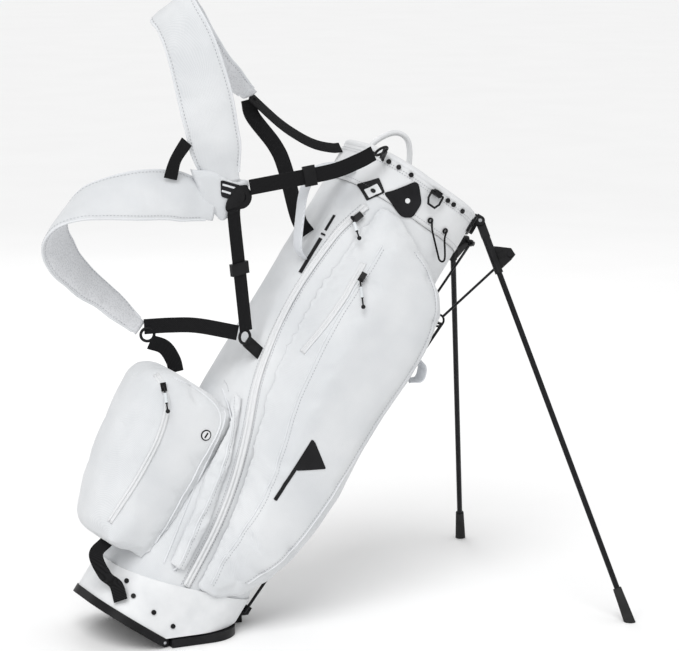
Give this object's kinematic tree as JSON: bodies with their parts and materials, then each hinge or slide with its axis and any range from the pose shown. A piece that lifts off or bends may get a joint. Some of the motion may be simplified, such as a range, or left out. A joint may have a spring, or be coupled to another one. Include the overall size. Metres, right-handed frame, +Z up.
{
  "type": "golf stand bag",
  "caption": "Slim fabric golf bag leaning on two folding stand legs, with zipped pockets, a club divider and a double shoulder strap.",
  "frame": {"origin": "centre line of the hinged base flap's ground sole, 65 mm from the base hinge pin", "axes": "+Z up; +X from the base toward the stand legs; +Y to the far side from the big clothing pocket"},
  "size_m": [0.9443, 0.6204, 1.0466],
  "materials": {
    "shell_fabric": "fine twill",
    "pocket_fabric": "fine twill over foam",
    "cuff_fabric": "smooth padded fabric",
    "collar_plastic": "matte",
    "divider_fabric": "brushed lining",
    "black_plastic": "fine grain",
    "steel_pins": "satin",
    "zip_tape": "coated tape",
    "black_print": "flat print",
    "black_patch": "pile patch",
    "steel_trim": "satin",
    "black_cord": "braided cord",
    "handle_fabric": "ribbed webbing",
    "pad_fabric": "padded twill",
    "webbing": "ribbed webbing",
    "leg_aluminium": "black anodised",
    "foot_rubber": "moulded",
    "black_steel": "black powder coat"
  },
  "bodies": {
    "bag": {"spine_panel": "shell_fabric", "near_panel": "shell_fabric", "far_panel": "shell_fabric", "belly_panel": "shell_fabric", "base_collar": "collar_plastic", "top_cuff": "cuff_fabric", "cuff_rim": "cuff_fabric", "divider_grid": "divider_fabric", "base_tray": "black_plastic", "base_hinge_pin": "steel_pins", "near_pocket": "pocket_fabric", "far_pocket": "pocket_fabric", "ball_pocket": "pocket_fabric", "ball_pocket_lid": "pocket_fabric", "ball_zip": "zip_tape", "side_sleeve": "pocket_fabric", "apparel_zip": "zip_tape", "valuables_zip": "zip_tape", "flag_emblem": "black_print", "cuff_patches": "black_patch", "rivets_and_tab": "steel_trim", "bungee_cord": "black_cord", "grab_handle": "handle_fabric", "lift_handle": "collar_plastic", "yoke_panel": "pad_fabric", "shoulder_pad_upper": "pad_fabric", "shoulder_pad_lower": "pad_fabric", "strap_hub": "black_plastic", "web_near_top": "webbing", "web_mid": "webbing", "web_far_top": "webbing", "web_cross": "webbing", "web_lower_loop": "webbing", "web_base": "webbing", "web_foot": "webbing", "elastic_band": "webbing", "strap_rings": "black_plastic", "side_loop": "handle_fabric", "leg_mount": "black_plastic", "leg_hinge_pins": "steel_pins", "actuator_guide": "black_plastic"},
    "base_flap": {"base_flap": "black_plastic"},
    "near_leg": {"near_knuckle": "black_plastic", "near_leg_tube": "leg_aluminium", "near_foot": "foot_rubber"},
    "far_leg": {"far_knuckle": "black_plastic", "far_leg_tube": "leg_aluminium", "far_foot": "foot_rubber"},
    "near_link": {"near_link": "black_steel"},
    "far_link": {"far_link": "black_steel"},
    "actuator_foot": {"actuator_foot": "black_plastic"},
    "actuator_wire": {"actuator_wire": "black_steel"},
    "apparel_slider": {"apparel_slider": "black_plastic"},
    "apparel_pull": {"apparel_pull": "black_cord"},
    "valuables_slider": {"valuables_slider": "black_plastic"},
    "valuables_pull": {"valuables_pull": "black_cord"},
    "ball_pull": {"ball_pull": "black_cord"},
    "towel_ring": {"towel_ring": "black_plastic"},
    "near_adjuster": {"near_adjuster": "black_plastic"},
    "mid_adjuster": {"mid_adjuster": "black_plastic"}
  },
  "joints": [
    {"name": "near_leg_fold", "type": "hinge", "parent": "bag", "child": "near_leg", "pos_m": [0.53244, -0.05, 0.65206], "axis": [0.3703, 0.8934, -0.2545], "range_deg": [0, 51.1]},
    {"name": "far_leg_fold", "type": "hinge", "parent": "bag", "child": "far_leg", "pos_m": [0.53244, 0.05, 0.65206], "axis": [-0.3703, 0.8934, 0.2545], "range_deg": [0, 51.1]},
    {"name": "near_link_swing", "type": "hinge", "parent": "near_leg", "child": "near_link", "pos_m": [0.57919, -0.07222, 0.59492], "axis": [-0.5147, -0.8338, 0.1994], "range_deg": [0, 55.87]},
    {"name": "far_link_swing", "type": "hinge", "parent": "far_leg", "child": "far_link", "pos_m": [0.57919, 0.07222, 0.59492], "axis": [0.5147, -0.8338, -0.1994], "range_deg": [0, 55.87]},
    {"name": "base_flap_swing", "type": "hinge", "parent": "bag", "child": "base_flap", "pos_m": [-0.065, 0, 0.007], "axis": [0, 1, 0], "range_deg": [0, 34.5]},
    {"name": "actuator_foot_slide", "type": "slide", "parent": "bag", "child": "actuator_foot", "axis": [0.5664, 0, 0.8241], "range_m": [-0.054, 0]},
    {"name": "actuator_wire_tilt", "type": "hinge", "parent": "actuator_foot", "child": "actuator_wire", "pos_m": [0.10274, 0, 0.02155], "axis": [0, 1, 0], "range_deg": [-3.47, 0]},
    {"name": "apparel_zip_slide", "type": "slide", "parent": "bag", "child": "apparel_slider", "axis": [-0.6707, 0.1847, -0.7184], "range_m": [0, 0.06]},
    {"name": "apparel_pull_swing", "type": "hinge", "parent": "apparel_slider", "child": "apparel_pull", "pos_m": [0.27298, -0.0937, 0.67991], "axis": [-0.991, -0.0971, 0.0922], "range_deg": [0, 40]},
    {"name": "valuables_zip_slide", "type": "slide", "parent": "bag", "child": "valuables_slider", "axis": [-0.6157, 0, -0.788], "range_m": [0, 0.1]},
    {"name": "valuables_pull_swing", "type": "hinge", "parent": "valuables_slider", "child": "valuables_pull", "pos_m": [0.26027, -0.1492, 0.58673], "axis": [-0.9935, -0.1052, 0.0443], "range_deg": [0, 50]},
    {"name": "ball_zip_slide", "type": "slide", "parent": "bag", "child": "ball_pull", "axis": [0.0807, -0.2583, -0.9627], "range_m": [0, 0.028]},
    {"name": "towel_ring_swing", "type": "hinge", "parent": "bag", "child": "towel_ring", "pos_m": [0.41984, -0.1125, 0.71245], "axis": [0.8241, 0, -0.5664], "range_deg": [-80, 0]},
    {"name": "near_adjuster_slide", "type": "slide", "parent": "bag", "child": "near_adjuster", "axis": [0.9803, -0.1275, 0.1511], "range_m": [-0.012, 0.012]},
    {"name": "mid_adjuster_slide", "type": "slide", "parent": "bag", "child": "mid_adjuster", "axis": [0.1214, 0.038, -0.9919], "range_m": [-0.02, 0.02]}
  ],
  "couplings": [
    {"joint": "far_leg_fold", "follows": "near_leg_fold", "ratio": 1},
    {"joint": "near_link_swing", "follows": "near_leg_fold", "ratio": 1.093},
    {"joint": "far_link_swing", "follows": "near_leg_fold", "ratio": 1.093},
    {"joint": "base_flap_swing", "follows": "near_leg_fold", "ratio": 0.67515},
    {"joint": "actuator_foot_slide", "follows": "near_leg_fold", "m_per_rad": -0.060547},
    {"joint": "actuator_wire_tilt", "follows": "near_leg_fold", "ratio": -0.06754}
  ]
}
